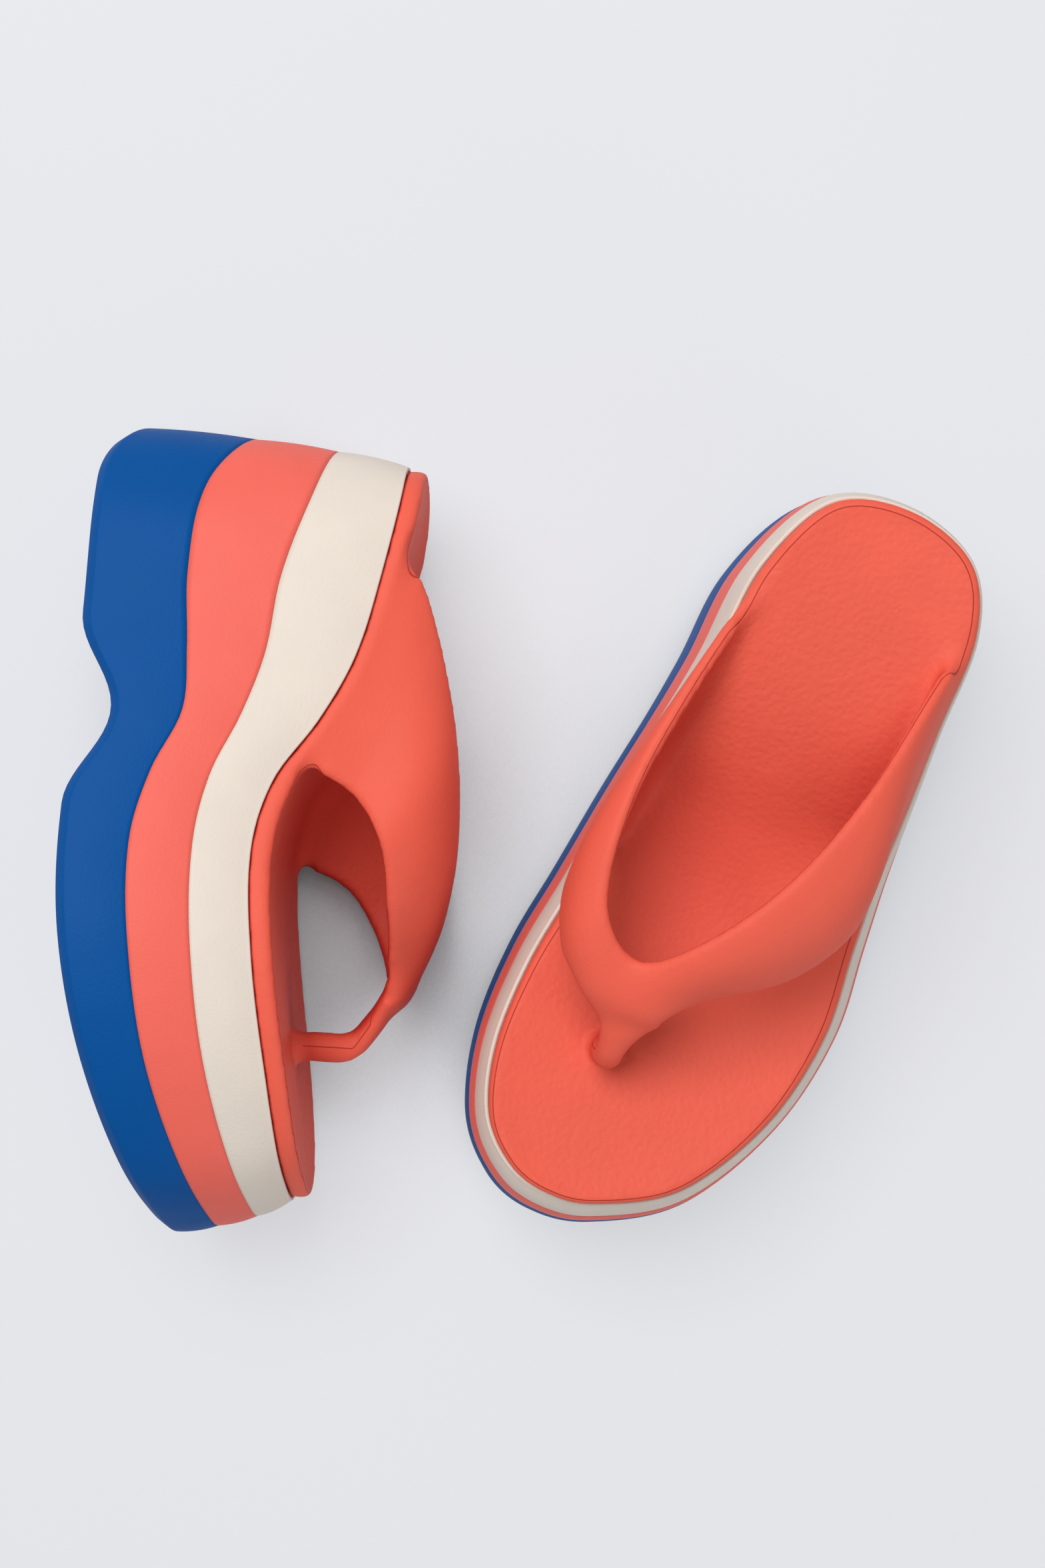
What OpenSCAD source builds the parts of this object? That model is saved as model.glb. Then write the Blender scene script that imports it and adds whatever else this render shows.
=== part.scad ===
// A pair of platform thong sandals for one wearer. The right one lies on its medial side with its
// lateral side up, the left one stands on its sole. Each sandal has a one-piece moulded upper
// (footbed, V strap and toe post) on three stacked foam layers with a waved profile.
//
// Each sandal is drawn as a right-foot one in its own frame: +X lateral, +Y from heel to toe and
// +Z up, with Y = 0 at the heel's rearmost point. The left one is its mirror image. The pair's
// origin is at the bottom centre of its box.

/* [Footbed] */
// length of the footbed's outline, heel to toe
bed_len = 245; // [210:1:280]
// width of the footbed at the heel
heel_w = 74; // [55:1:85]
// width of the footbed at the waist
waist_w = 78.5; // [60:0.5:90]
// width of the footbed at the ball of the foot
ball_w = 101; // [85:1:120]
// how far the forefoot leans to the medial side
ball_lean = 2.1; // [0:0.1:6]
// height of the upper's side band above the cream layer
bed_rise = 6.5; // [4:0.5:10]
// ledge of cream left bare around the upper
bed_ledge = 1.6; // [0.5:0.1:3]
// depth of the footbed's hollow
bed_dish = 2.6; // [0.5:0.1:4]

/* [Platform heights] */
// top of the cream layer at the heel
cream_heel_h = 97; // [80:1:115]
// top of the cream layer at the ball of the foot
cream_ball_h = 58.5; // [50:0.5:75]
// top of the cream layer at the toe
cream_toe_h = 75; // [70:1:95]
// top of the coral layer at the heel
coral_heel_h = 69.5; // [55:0.5:80]
// top of the coral layer at the ball of the foot
coral_ball_h = 41; // [34:0.5:50]
// top of the coral layer at the toe
coral_toe_h = 64; // [58:1:80]
// top of the blue layer at the heel
blue_heel_h = 35.5; // [26:0.5:46]
// top of the blue layer at the ball of the foot
blue_ball_h = 22; // [16:0.5:28]
// top of the blue layer at the toe
blue_toe_h = 50.5; // [44:0.5:60]
// extra height of the blue layer's top edge at the very back
blue_heel_lift = 13.5; // [0:0.5:20]
// extra height of the coral layer's top edge at the very back
coral_heel_lift = 6.5; // [0:0.5:12]
// extra height of the cream layer's top edge at the very back
cream_heel_lift = 1; // [0:0.5:6]
// rise of the sole's notch under the arch
arch_rise = 12; // [4:1:16]
// rise of the sole at the toe tip
toe_spring = 33; // [20:1:42]
// rise of the sole at the back of the heel
heel_bevel = 9.5; // [4:0.5:16]

/* [Platform flare] */
// how far the blue layer stands out behind the footbed
heel_flare = 8; // [5:0.5:14]
// how far the blue layer stands out on the lateral side of the ball
lateral_flare = 10.5; // [4:0.5:12]
// how far the blue layer stands out on the medial side of the ball
medial_flare = 6; // [4:0.5:9]
// how far the blue layer stands out on the heel's lateral side
heel_lateral_flare = 7.5; // [4:0.5:9]
// how far the blue layer stands out on the heel's medial side
heel_medial_flare = 5.5; // [4:0.5:9]
// how far the blue layer stands out in front of the footbed
toe_flare = 12; // [6:0.5:16]
// bevel around the sole's bottom edge
sole_bevel = 3; // [1:0.5:5]

/* [Strap] */
// thickness of the strap
strap_t = 4.4; // [3:0.1:6]
// height of the strap's crest over the ground
crest_h = 120; // [115:1:140]
// how far the strap's rear edge reaches behind the toe post
strap_reach = 143; // [120:1:155]
// how far the strap's front edge falls below its crest
strap_fall = 39; // [36:1:52]
// fullness of the strap between its edges
strap_full = 4; // [1:0.5:6]
// length of the strap's foot along the footbed's lateral side
lateral_foot = 74; // [55:1:85]
// length of the strap's foot along the footbed's medial side
medial_foot = 100; // [80:1:110]
// diameter of the toe post
post_d = 10; // [7:0.2:13]
// height of the post's bend below the strap's crest
post_bend = 30; // [24:1:36]
// how far the post's top leans back from its foot
post_lean = 16; // [10:1:26]
// width of the post's top, inside the strap
tongue_w = 24; // [14:1:30]
// distance of the toe post from the heel's rearmost point
post_y = 202; // [190:1:215]
// distance of the toe post from the sandal's centre line
post_x = 17.5; // [10:0.5:25]

/* [Arrangement] */
// how far the standing sandal's toe turns from straight towards the viewer
left_turn = 23.8; // [0:0.1:45]
// how far the lying sandal's toe turns from straight towards the viewer
right_turn = 3.3; // [0:0.1:20]
// distance between the two heels, from side to side
heels_x = 259; // [240:1:320]
// how far the lying sandal's heel lies behind the standing one's
heels_y = 26; // [0:1:60]

/* [Hidden] */

coral = [0.96, 0.40, 0.32];
cream = [0.92, 0.86, 0.79];
blue = [0.05, 0.34, 0.62];

sole_len = heel_flare + bed_len + toe_flare;
span_steps = 4;      // outline points per span of its control points
strap_steps = 5;     // strap sections per span of its control rows
bed_columns = 10;    // footbed points across
bed_round = 2;       // rounding of the footbed's top edge
strap_start = 39;    // where the strap's feet begin
strap_inset = 0.2;   // how far the strap's outer face stands in from the side band
post_flare = 4;      // how far the post's foot spreads out on the footbed
wall_full = 0.6;     // fullness of the blue and coral layers' walls
cream_full = 0.8;    // fullness of the cream layer's wall

// ---------- curves ----------

function catmull(a, b, c, d, t) =
    0.5 * (2 * b + (c - a) * t + (2 * a - 5 * b + 4 * c - d) * t * t + (3 * b - a - 3 * c + d) * t * t * t);

// A closed curve through all the points.
function closed_curve(points, steps) = [
    let (n = len(points))
    for (i = [0 : n - 1], s = [0 : steps - 1])
        catmull(points[(i + n - 1) % n], points[i], points[(i + 1) % n], points[(i + 2) % n], s / steps)
];

// An open curve through all the points.
function open_curve(points, steps) = [
    let (n = len(points))
    for (i = [0 : n - 2], s = [0 : steps - (i == n - 2 ? 0 : 1)])
        catmull(
            i == 0 ? 2 * points[0] - points[1] : points[i - 1],
            points[i],
            points[i + 1],
            i == n - 2 ? 2 * points[n - 1] - points[n - 2] : points[i + 2],
            s / steps
        )
];

// Slope of a smooth profile at its knot i.
function slope(knots, values, i) =
    i == 0 ? (values[1] - values[0]) / (knots[1] - knots[0])
    : i == len(knots) - 1 ? (values[i] - values[i - 1]) / (knots[i] - knots[i - 1])
    : (values[i + 1] - values[i - 1]) / (knots[i + 1] - knots[i - 1]);

function hermite(a, b, slope_a, slope_b, w, t) =
    a * (2 * t * t * t - 3 * t * t + 1) + b * (3 * t * t - 2 * t * t * t)
    + w * slope_a * (t * t * t - 2 * t * t + t) + w * slope_b * (t * t * t - t * t);

// Height of a smooth profile at y.
function profile(knots, values, y, i = 0) =
    (i < len(knots) - 2 && y > knots[i + 1]) ? profile(knots, values, y, i + 1)
    : let (w = knots[i + 1] - knots[i], at_a = slope(knots, values, i), at_b = slope(knots, values, i + 1))
      hermite(values[i], values[i + 1], at_a, at_b, w, (y - knots[i]) / w);

function unit(v) = v / norm(v);

// ---------- heights along the sandal ----------

// Places along the sole, from heel to toe, where the layers' heights are set.
stations = [0, 0.094, 0.207, 0.30, 0.376, 0.45, 0.534, 0.658, 0.81, 1] * sole_len;

// Each layer falls from the heel to the ball and climbs again to the toe: the shares of its fall
// still to go at the stations before the ball, and of its climb done at those after it. Its edge
// is lifted a little more at the very back.
function waved(heel, ball, toe, heel_lift, fall, climb) = [
    for (i = [0 : len(stations) - 1])
        i == 0 ? heel + heel_lift
        : i <= 6 ? ball + (heel - ball) * fall[i - 1]
        : ball + (toe - ball) * climb[i - 7]
];
blue_fall = [1, 0.75, 0.89, 0.92, 0.33, 0];
blue_climb = [0.09, 0.37, 1];
blue_top = waved(blue_heel_h, blue_ball_h, blue_toe_h, blue_heel_lift, blue_fall, blue_climb);
coral_fall = [1, 0.71, 0.605, 0.4, 0.12, 0];
coral_climb = [0.09, 0.385, 1];
coral_top = waved(coral_heel_h, coral_ball_h, coral_toe_h, coral_heel_lift, coral_fall, coral_climb);
cream_fall = [1, 0.87, 0.71, 0.46, 0.135, 0];
cream_climb = [0.15, 0.54, 1];
cream_top = waved(cream_heel_h, cream_ball_h, cream_toe_h, cream_heel_lift, cream_fall, cream_climb);

function blue_z(y) = profile(stations, blue_top, y);
function coral_z(y) = profile(stations, coral_top, y);
function cream_z(y) = profile(stations, cream_top, y);

// The sole is level at the heel and the ball, notched under the arch and raised at both ends.
heel_end = 0.094 * sole_len;
arch_y = 0.38 * sole_len;
arch_half = 0.117 * sole_len;
spring_y = 0.52 * sole_len;
function sole_z(y) =
    y < heel_end ? heel_bevel * pow((heel_end - y) / heel_end, 2)
    : abs(y - arch_y) < arch_half ? arch_rise * (0.5 + 0.5 * cos(180 * (y - arch_y) / arch_half))
    : y > spring_y ? toe_spring * pow((y - spring_y) / (sole_len - spring_y), 1.88)
    : 0;

// ---------- outlines ----------

// The footbed's outline, anticlockwise from the heel along the lateral side to the toe and back.
heel_r = heel_w / 2;
waist_r = waist_w / 2;
ball_r = ball_w / 2;
bed_points = [
    [0, 0],
    [0.65 * heel_r, 0.03 * bed_len],
    [0.96 * heel_r, 0.115 * bed_len],
    [0.96 * waist_r, 0.25 * bed_len],
    [1.06 * waist_r, 0.40 * bed_len],
    [0.948 * ball_r - ball_lean, 0.54 * bed_len],
    [ball_r - ball_lean, 0.665 * bed_len],
    [0.87 * ball_r - ball_lean, 0.80 * bed_len],
    [0.52 * ball_r - ball_lean, 0.925 * bed_len],
    [0.04 * ball_r - ball_lean, 0.987 * bed_len],
    [-0.29 * ball_r - ball_lean, bed_len],
    [-0.58 * ball_r - ball_lean, 0.985 * bed_len],
    [-0.84 * ball_r - ball_lean, 0.935 * bed_len],
    [-0.98 * ball_r - ball_lean, 0.845 * bed_len],
    [-0.99 * ball_r - ball_lean, 0.73 * bed_len],
    [-0.915 * ball_r - ball_lean, 0.61 * bed_len],
    [-1.12 * waist_r, 0.455 * bed_len],
    [-0.98 * waist_r, 0.275 * bed_len],
    [-0.985 * heel_r, 0.14 * bed_len],
    [-0.65 * heel_r, 0.03 * bed_len]
];
bed_outline = [for (p = closed_curve(bed_points, span_steps)) p + [0, heel_flare]];
ring_n = len(bed_outline);

// Outward direction at each point of the outline.
bed_normals = [
    for (i = [0 : ring_n - 1])
        let (d = bed_outline[(i + 1) % ring_n] - bed_outline[(i + ring_n - 1) % ring_n])
        unit([d[1], -d[0]])
];

function smooth_step(t) = let (s = min(1, max(0, t))) s * s * (3 - 2 * s);

// The platform's flare goes over from the heel's sides to the ball's, and turns smoothly to the
// heel and the toe.
flare_start = 0.15 * sole_len;
flare_run = 0.45 * sole_len;
function side_flare(at_heel, at_ball, y) =
    at_heel + (at_ball - at_heel) * smooth_step((y - flare_start) / flare_run);
function flare(n, y) =
    let (
        side = n[0] > 0
            ? side_flare(heel_lateral_flare, lateral_flare, y)
            : side_flare(heel_medial_flare, medial_flare, y)
    )
    side + pow(n[1], 2) * ((n[1] < 0 ? heel_flare : toe_flare) - side);

// The outline pushed out by a share of the flare, less an inset.
function ring_xy(share, inset) = [
    for (i = [0 : ring_n - 1])
        bed_outline[i] + bed_normals[i] * (share * flare(bed_normals[i], bed_outline[i][1]) - inset)
];

// Shares of the flare at the layers' edges.
cream_foot = 0.46;
coral_foot = 0.78;

cream_rim = [for (p = ring_xy(0, 0)) [p[0], p[1], cream_z(p[1])]];
bed_foot = [for (p = ring_xy(0, bed_ledge)) [p[0], p[1], cream_z(p[1])]];
coral_rim = [for (p = ring_xy(cream_foot, 0)) [p[0], p[1], coral_z(p[1])]];
blue_rim = [for (p = ring_xy(coral_foot, 0)) [p[0], p[1], blue_z(p[1])]];
sole_rim = [for (p = ring_xy(1, 0)) [p[0], p[1], sole_z(p[1]) + sole_bevel]];
sole_face = [for (p = ring_xy(1, sole_bevel)) [p[0], p[1], sole_z(p[1])]];

// A ring between two others, pushed out a little so that the wall is full.
function between(low, high, share, fullness) = [
    for (i = [0 : ring_n - 1])
        let (p = low[i] + (high[i] - low[i]) * share)
        [p[0] + bed_normals[i][0] * fullness, p[1] + bed_normals[i][1] * fullness, p[2]]
];

// ---------- solids from rings ----------

function flat(lists) = [for (l = lists) each l];

// Side faces between ring a and the ring above it.
function wall_faces(a, b, n) = flat([
    for (i = [0 : n - 1])
        let (j = (i + 1) % n)
        [[a + i, b + i, b + j], [a + i, b + j, a + j]]
]);

// Faces of a cap whose strips run from the lateral side to the medial one.
function cap_faces(a, n, up) = flat([
    for (i = [0 : n / 2 - 1])
        let (
            p = a + i,
            q = a + i + 1,
            r = a + (n - i - 1),
            s = a + (n - i) % n,
            left = [[p, r, q], [p, s, r]],
            right = [[p, q, r], [p, r, s]],
            faces = up ? left : right
        )
        i == 0 ? [faces[0]] : i == n / 2 - 1 ? [faces[1]] : faces
]);

module layer(rings) {
    n = ring_n;
    m = len(rings);
    polyhedron(
        points = flat(rings),
        faces = concat(
            flat([for (k = [0 : m - 2]) wall_faces(k * n, (k + 1) * n, n)]),
            cap_faces(0, n, false),
            cap_faces((m - 1) * n, n, true)
        )
    );
}

// ---------- the sandal's pieces ----------

module blue_outsole() {
    layer([sole_face, sole_rim, between(sole_rim, blue_rim, 0.5, wall_full), blue_rim]);
}

module coral_layer() {
    layer([blue_rim, between(blue_rim, coral_rim, 0.5, wall_full), coral_rim]);
}

module cream_layer() {
    layer([coral_rim, between(coral_rim, cream_rim, 0.5, cream_full), cream_rim, bed_foot]);
}

// The footbed: its side band, a rounded top edge and a hollow across and along.
band_out = 0.3;      // fullness of the side band
bed_rings = [
    bed_foot,
    [for (p = ring_xy(0, bed_ledge - band_out)) [p[0], p[1], cream_z(p[1]) + 0.4 * bed_rise]],
    [for (p = ring_xy(0, bed_ledge)) [p[0], p[1], cream_z(p[1]) + bed_rise - bed_round]],
    [for (p = ring_xy(0, bed_ledge + 0.3 * bed_round))
        [p[0], p[1], cream_z(p[1]) + bed_rise - 0.3 * bed_round]],
    [for (p = ring_xy(0, bed_ledge + bed_round)) [p[0], p[1], cream_z(p[1]) + bed_rise]]
];
half_n = ring_n / 2;

// Depth of the hollow at row i and share u across.
function hollow(i, u) = bed_dish * pow(sin(180 * i / half_n), 0.6) * (1 - pow(abs(2 * u - 1), 2.5));

bed_grid = [
    let (rim = bed_rings[len(bed_rings) - 1])
    for (i = [1 : half_n - 1], c = [1 : bed_columns - 1])
        let (u = c / bed_columns, p = rim[i] + (rim[ring_n - i] - rim[i]) * u)
        [p[0], p[1], cream_z(p[1]) + bed_rise - hollow(i, u)]
];

// Index of the point at row i and column c on the footbed's top.
function bed_index(i, c) =
    let (top = (len(bed_rings) - 1) * ring_n, grid = len(bed_rings) * ring_n)
    c == 0 ? top + i
    : c == bed_columns ? top + ring_n - i
    : grid + (i - 1) * (bed_columns - 1) + c - 1;

module footbed() {
    n = ring_n;
    m = len(bed_rings);
    top = (m - 1) * n;
    polyhedron(
        points = concat(flat(bed_rings), bed_grid),
        faces = concat(
            flat([for (k = [0 : m - 2]) wall_faces(k * n, (k + 1) * n, n)]),
            cap_faces(0, n, false),
            [for (c = [0 : bed_columns - 1]) [top, bed_index(1, c + 1), bed_index(1, c)]],
            [for (c = [0 : bed_columns - 1])
                [top + half_n, bed_index(half_n - 1, c), bed_index(half_n - 1, c + 1)]],
            flat([
                for (i = [1 : half_n - 2], c = [0 : bed_columns - 1])
                    let (
                    p = bed_index(i, c),
                    q = bed_index(i + 1, c),
                    r = bed_index(i + 1, c + 1),
                    s = bed_index(i, c + 1)
                )
                    [[p, r, q], [p, s, r]]
            ])
        )
    );
}

// ---------- the strap ----------

function lateral_x(y) = lookup(y, [for (i = [0 : half_n]) [bed_outline[i][1], bed_outline[i][0]]]);
function medial_x(y) = lookup(y, [
    for (i = [0 : half_n])
        let (p = bed_outline[(ring_n - i) % ring_n])
        [p[1], p[0]]
]);

strap_seat = bed_ledge + strap_t / 2 + strap_inset;

// Where the strap grows out of the footbed, at share u of its foot.
function lateral_root(u) =
    let (y = strap_start + lateral_foot * u)
    [lateral_x(y) - strap_seat, y, cream_z(y) + 0.45 * bed_rise];
function medial_root(u) =
    let (y = strap_start + medial_foot * u)
    [medial_x(y) + strap_seat, y, cream_z(y) + 0.45 * bed_rise];

// The strap's rear and front edges and its fullness between them, from the lateral foot over the
// instep to the medial foot. Across in half widths of the ball, back from the post in shares of the
// strap's reach, down from the crest in shares of its fall, and shares of the fullness.
strap_rows = [
    [[0.54, -1.002, -0.3], [0.67, -0.56, -0.83], [0.5, 0, 0.5]],
    [[0.4, -0.742, -0.07], [0.68, -0.454, -0.58], [1, 0.25, 1]],
    [[0.18, -0.505, 0], [0.46, -0.32, -0.51], [0.5, 0.5, 1]],
    [[-0.13, -0.32, -0.1], [0.06, -0.207, -0.51], [0.25, 0.25, 1]],
    [[-0.44, -0.225, -0.28], [-0.4, -0.072, -0.6], [0, 0.5, 0.75]],
    [[-0.75, -0.313, -0.21], [-0.79, -0.154, -0.56], [-0.5, 0.5, 0.75]],
    [[-0.86, -0.542, -0.19], [-0.97, -0.276, -0.71], [-0.75, 0, 0.5]],
    [[-0.8, -0.802, -0.33], [-0.92, -0.385, -1], [-0.75, 0, 0.5]]
];

function strap_place(p) = [p[0] * ball_r, post_y + p[1] * strap_reach, crest_h + p[2] * strap_fall];

// Shares across the strap, close together at its rounded edges.
strap_u = [0, 0.012, 0.04, 0.10, 0.22, 0.36, 0.5, 0.64, 0.78, 0.90, 0.96, 0.988, 1];

function strap_line(u) = concat(
    [lateral_root(u)],
    [for (row = strap_rows)
        let (rear = strap_place(row[0]), front = strap_place(row[1]))
        rear + (front - rear) * u + row[2] * strap_full * 4 * u * (1 - u)],
    [medial_root(u)]
);

// The strap's middle surface: one open curve for each share across.
strap_lines = [for (u = strap_u) open_curve(strap_line(u), strap_steps)];
strap_n = len(strap_lines[0]);
strap_m = len(strap_u);

// Half the strap's thickness at a distance from its edge.
function strap_half(d) = strap_t / 2 * sqrt(1 - pow(1 - min(1, d / (0.5 * strap_t)), 2));

function strap_normal(j, k) =
    let (
        a = strap_lines[min(j + 1, strap_m - 1)][k] - strap_lines[max(j - 1, 0)][k],
        b = strap_lines[j][min(k + 1, strap_n - 1)] - strap_lines[j][max(k - 1, 0)]
    )
    unit(cross(a, b));

// Section k: along the outer face from rear to front, and back along the inner face.
function strap_section(k) =
    let (w = norm(strap_lines[strap_m - 1][k] - strap_lines[0][k]))
    concat(
        [for (j = [0 : strap_m - 1])
            let (u = strap_u[j])
            strap_lines[j][k] + strap_normal(j, k) * strap_half(min(u, 1 - u) * w)],
        [for (j = [strap_m - 2 : -1 : 1])
            let (u = strap_u[j])
            strap_lines[j][k] - strap_normal(j, k) * strap_half(min(u, 1 - u) * w)]
    );

strap_sections = [for (k = [0 : strap_n - 1]) strap_section(k)];

// Faces that close the section that starts at point a.
function strap_end(a, first) =
    let (
        n = 2 * strap_m - 2,
        faces = concat(
            [[a, a + 1, a + n - 1]],
            flat([
                for (j = [2 : strap_m - 2])
                    [[a + j, a + n - j, a + n - j + 1], [a + j, a + n - j + 1, a + j - 1]]
            ]),
            [[a + strap_m - 1, a + strap_m, a + strap_m - 2]]
        )
    )
    first ? faces : [for (f = faces) [f[2], f[1], f[0]]];

module strap() {
    n = 2 * strap_m - 2;
    polyhedron(
        points = flat(strap_sections),
        faces = concat(
            flat([for (k = [0 : strap_n - 2]) wall_faces(k * n, (k + 1) * n, n)]),
            strap_end(0, true),
            strap_end((strap_n - 1) * n, false)
        )
    );
}

// ---------- the toe post ----------

post_foot_z = cream_z(post_y) + bed_rise - bed_dish;
post_r = post_d / 2;

// Stages of the post from inside the strap's tip to the footbed: place and half sizes. It stands
// straight up to its bend, and leans back from there into the strap as a flatter, broader tongue.
bend_z = crest_h - post_bend;
tongue_r = tongue_w / 2;
lean_rise = 0.65;    // rise of the tongue over its lean
function lean_stage(share) =
    let (flatter = 1 - 0.5 * pow(share, 0.5))
    [
        [-post_x, post_y - post_lean * share, bend_z + lean_rise * post_lean * share],
        [post_r + (tongue_r - post_r) * pow(share, 1.6), post_r * flatter, post_r * flatter]
    ];
function foot_stage(up, spread, thick) = [
    [-post_x, post_y, post_foot_z + post_flare * up],
    [post_r + post_flare * spread, post_r + post_flare * spread, post_flare * thick]
];
post_stages = [
    lean_stage(1),
    lean_stage(0.75),
    lean_stage(0.5),
    lean_stage(0.3),
    lean_stage(0.12),
    [[-post_x, post_y, bend_z - post_r], [post_r, post_r, post_r]],
    foot_stage(1, 0, 0.5),
    foot_stage(0.3, 0.45, 0.25),
    foot_stage(-0.2, 1, 0.25)
];

module post_bead(stage) {
    translate(stage[0])
        scale(stage[1])
            sphere(r = 1, $fn = 20);
}

module toe_post() {
    for (i = [0 : len(post_stages) - 2])
        hull() {
            post_bead(post_stages[i]);
            post_bead(post_stages[i + 1]);
        }
}

module upper() {
    footbed();
    strap();
    toe_post();
}

// ---------- the two sandals' places ----------

// The lying sandal rests on its sole's medial edge, at the heel and the ball, and rolls from
// there until its strap or footbed touches the ground.
function most_medial(points) =
    let (least = min([for (p = points) p[0]]))
    [for (p = points) if (p[0] == least) p][0];

heel_touch = most_medial([for (p = sole_rim) if (p[1] < 0.4 * sole_len) p]);
ball_touch = most_medial([for (p = sole_rim) if (p[1] > 0.5 * sole_len) p]);
touch_line = unit(ball_touch - heel_touch);
up_line = unit(cross(touch_line, [-1, 0, 0]));
out_line = cross(up_line, touch_line);
high_points = concat(flat(strap_sections), cream_rim, bed_rings[1], bed_rings[2]);
roll = max([for (p = high_points) atan2((p - heel_touch) * out_line, (p - heel_touch) * up_line)]);
lying_up = sin(roll) * up_line - cos(roll) * out_line;
lying_toe = unit([0, 1, 0] - lying_up * lying_up[1]);
lying_top = cross(lying_up, lying_toe);

// Directions on the ground of the lying sandal's toe and top.
toe_way = [-sin(right_turn), -cos(right_turn), 0];
top_way = [cos(right_turn), -sin(right_turn), 0];

right_turned = [
    for (i = [0 : 2])
        toe_way[i] * lying_toe + top_way[i] * lying_top + (i == 2 ? 1 : 0) * lying_up
];
left_turned = [
    [cos(left_turn), -sin(left_turn), 0],
    [-sin(left_turn), -cos(left_turn), 0],
    [0, 0, 1]
];

outer_points = concat(high_points, sole_rim, sole_face, blue_rim, coral_rim);
right_points = [for (p = outer_points) right_turned * p];
left_points = [for (p = outer_points) left_turned * p + [heels_x, -heels_y, 0]];
all_points = concat(right_points, left_points);

function middle(i) = (min([for (p = all_points) p[i]]) + max([for (p = all_points) p[i]])) / 2;

pair_middle = [middle(0), middle(1), 0];
right_place = -pair_middle - [0, 0, min([for (p = right_points) p[2]])];
left_place = [heels_x, -heels_y, 0] - pair_middle;

function moved(turned, place) = [for (i = [0 : 2]) concat(turned[i], [place[i]])];

module placed_right() {
    multmatrix(moved(right_turned, right_place))
        children();
}

module placed_left() {
    multmatrix(moved(left_turned, left_place))
        children();
}

module right_upper() { color(coral) placed_right() upper(); }
module right_cream_layer() { color(cream) placed_right() cream_layer(); }
module right_coral_layer() { color(coral) placed_right() coral_layer(); }
module right_blue_outsole() { color(blue) placed_right() blue_outsole(); }
module left_upper() { color(coral) placed_left() upper(); }
module left_cream_layer() { color(cream) placed_left() cream_layer(); }
module left_coral_layer() { color(coral) placed_left() coral_layer(); }
module left_blue_outsole() { color(blue) placed_left() blue_outsole(); }

right_upper();
right_cream_layer();
right_coral_layer();
right_blue_outsole();
left_upper();
left_cream_layer();
left_coral_layer();
left_blue_outsole();
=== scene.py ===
"""The looks of a pair of platform thong sandals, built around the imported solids.

Each sandal is shaped in millimetres as a right one in its own frame, +X lateral, +Y to the toe and
+Z up, from the same sizes as its solids. It is then turned, mirrored and set where they are.
"""
from math import cos, pi, radians, sin

import bpy
import numpy as np
from mathutils import Matrix, Vector
from mathutils.bvhtree import BVHTree
from mathutils.kdtree import KDTree


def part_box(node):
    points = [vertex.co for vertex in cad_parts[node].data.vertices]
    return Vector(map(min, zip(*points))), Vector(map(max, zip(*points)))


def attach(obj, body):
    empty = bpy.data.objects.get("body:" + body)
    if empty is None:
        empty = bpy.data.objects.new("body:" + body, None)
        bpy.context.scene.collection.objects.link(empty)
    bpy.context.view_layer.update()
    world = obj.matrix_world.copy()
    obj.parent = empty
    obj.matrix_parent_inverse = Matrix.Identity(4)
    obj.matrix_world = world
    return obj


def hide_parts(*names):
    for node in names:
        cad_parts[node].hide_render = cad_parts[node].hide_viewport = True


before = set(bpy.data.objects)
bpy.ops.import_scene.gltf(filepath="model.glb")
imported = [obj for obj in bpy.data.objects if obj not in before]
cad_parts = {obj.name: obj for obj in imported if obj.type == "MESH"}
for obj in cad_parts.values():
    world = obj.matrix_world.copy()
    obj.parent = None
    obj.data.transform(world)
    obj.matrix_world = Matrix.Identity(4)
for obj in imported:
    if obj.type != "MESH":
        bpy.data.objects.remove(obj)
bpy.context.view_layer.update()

# ---------- sizes in millimetres, the same as the solids' ----------

MM = 0.001
BED_LEN, HEEL_W, WAIST_W, BALL_W, BALL_LEAN = 245, 74, 78.5, 101, 2.1
BED_RISE, BED_LEDGE, BED_DISH, BED_ROUND = 6.5, 1.6, 2.6, 2

# Each layer's top: its heights, the lift of its heel, and its fall and climb in shares of them. The
# lifts and shares are rounded from a program's fit to the photo's outline.
CREAM = dict(
    heel=97, ball=58.5, toe=75, lift=1,
    fall=[1, 0.87, 0.71, 0.46, 0.135, 0], climb=[0.15, 0.54, 1],
)
CORAL = dict(
    heel=69.5, ball=41, toe=64, lift=6.5,
    fall=[1, 0.71, 0.605, 0.4, 0.12, 0], climb=[0.09, 0.385, 1],
)
BLUE = dict(
    heel=35.5, ball=22, toe=50.5, lift=13.5,
    fall=[1, 0.75, 0.89, 0.92, 0.33, 0], climb=[0.09, 0.37, 1],
)
ARCH_RISE, TOE_SPRING, HEEL_BEVEL, SOLE_BEVEL = 12, 33, 9.5, 3
# In shares of the sole's length: the end of the heel's bevel, the arch and its half width, the toe's rise.
SOLE_MARKS = 0.094, 0.38, 0.117, 0.52
SPRING_POWER = 1.88      # how late the toe rises
HEEL_FLARE, TOE_FLARE = 8, 12
FLARE_FROM, FLARE_OVER = 0.15, 0.45      # where the flare goes over from the heel's to the ball's
LATERAL_FLARES, MEDIAL_FLARES = (7.5, 10.5), (5.5, 6)      # at the heel and at the ball
STRAP_T, CREST_H, STRAP_REACH, STRAP_FALL, STRAP_FULL = 4.4, 120, 143, 39, 4
STRAP_START, STRAP_INSET, LATERAL_FOOT, MEDIAL_FOOT = 39, 0.2, 74, 100
POST_D, POST_Y, POST_X, POST_BEND, POST_LEAN, TONGUE_W = 10, 202, 17.5, 30, 16, 24
TONGUE_RISE = 0.65       # how steeply the post's tongue climbs to the strap
LEFT_TURN, RIGHT_TURN = 23.8, 3.3
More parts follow.
